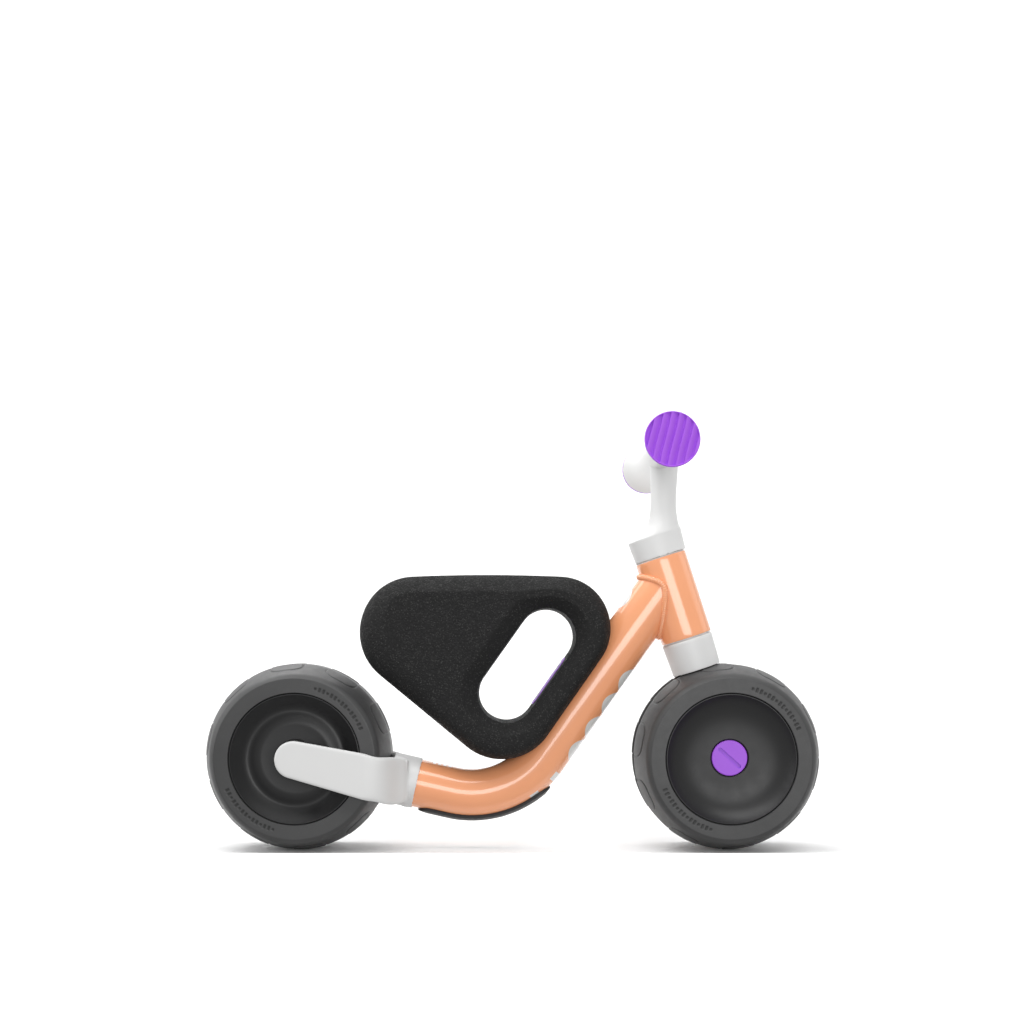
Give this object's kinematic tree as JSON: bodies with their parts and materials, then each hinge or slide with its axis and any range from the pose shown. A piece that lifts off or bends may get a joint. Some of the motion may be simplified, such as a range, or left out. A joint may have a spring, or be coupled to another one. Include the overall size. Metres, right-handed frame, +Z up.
{
  "type": "balance bike",
  "caption": "Toddler balance bike with a bent tube frame, wide foam tyres, a steered front wheel pair, a flared handlebar and a foam seat with a carry slot.",
  "frame": {"origin": "on the ground, half way between the two axles, on the middle plane", "axes": "+X forward, +Y to the rider's left, +Z up"},
  "size_m": [0.628, 0.27, 0.4311],
  "materials": {
    "orange_paint": "gloss",
    "white_plastic": "satin",
    "violet_plastic": "satin",
    "violet_rubber": "matte",
    "seat_foam": "matte",
    "tyre": "matte",
    "hub_plastic": "satin",
    "black_guard": "matte",
    "black_nylon": "matte",
    "steel": "satin",
    "bearing_steel": "polished",
    "brass_insert": "satin"
  },
  "bodies": {
    "chassis": {"frame": "orange_paint", "weld_bead": "orange_paint", "headset_bush_lower": "white_plastic", "headset_bush_upper": "white_plastic", "belly_guard": "black_guard", "guard_screws": "steel", "seat": "seat_foam", "seat_plate": "violet_plastic", "seat_bolts": "steel", "seat_sleeves": "steel", "tube_plug": "black_nylon", "tube_screw": "steel", "rear_fork_left": "white_plastic", "rear_fork_right": "white_plastic", "rear_fork_bolts": "steel", "rear_fork_inserts": "brass_insert", "rear_axle": "steel", "rear_spacer_left": "steel", "rear_spacer_right": "steel"},
    "rear_wheel": {"rear_tyre": "tyre", "rear_hub_left": "hub_plastic", "rear_hub_right": "hub_plastic", "rear_bearing_left": "bearing_steel", "rear_bearing_right": "bearing_steel"},
    "steering": {"fork": "white_plastic", "fork_pin": "steel", "steerer_tube": "steel", "steering_stop": "steel", "handlebar": "white_plastic", "stem_bolt": "steel", "front_axle": "steel", "front_washer_left": "steel", "front_washer_right": "steel", "axle_cap_left": "violet_plastic", "axle_cap_right": "violet_plastic", "grip_cap_left": "violet_rubber", "grip_cap_right": "violet_rubber"},
    "front_wheel_left": {"front_tyre_left": "tyre", "front_hub_left": "hub_plastic", "front_bearings_left": "bearing_steel"},
    "front_wheel_right": {"front_tyre_right": "tyre", "front_hub_right": "hub_plastic", "front_bearings_right": "bearing_steel"}
  },
  "joints": [
    {"name": "steering", "type": "hinge", "parent": "chassis", "child": "steering", "pos_m": [0.219, 0, 0.095], "axis": [-0.309, 0, 0.9511], "range_deg": [-40, 40]},
    {"name": "front_wheel_left_spin", "type": "hinge", "parent": "steering", "child": "front_wheel_left", "pos_m": [0.219, 0, 0.095], "axis": [0, 1, 0], "continuous": true},
    {"name": "front_wheel_right_spin", "type": "hinge", "parent": "steering", "child": "front_wheel_right", "pos_m": [0.219, 0, 0.095], "axis": [0, 1, 0], "continuous": true},
    {"name": "rear_wheel_spin", "type": "hinge", "parent": "chassis", "child": "rear_wheel", "pos_m": [-0.219, 0, 0.095], "axis": [0, 1, 0], "continuous": true}
  ]
}
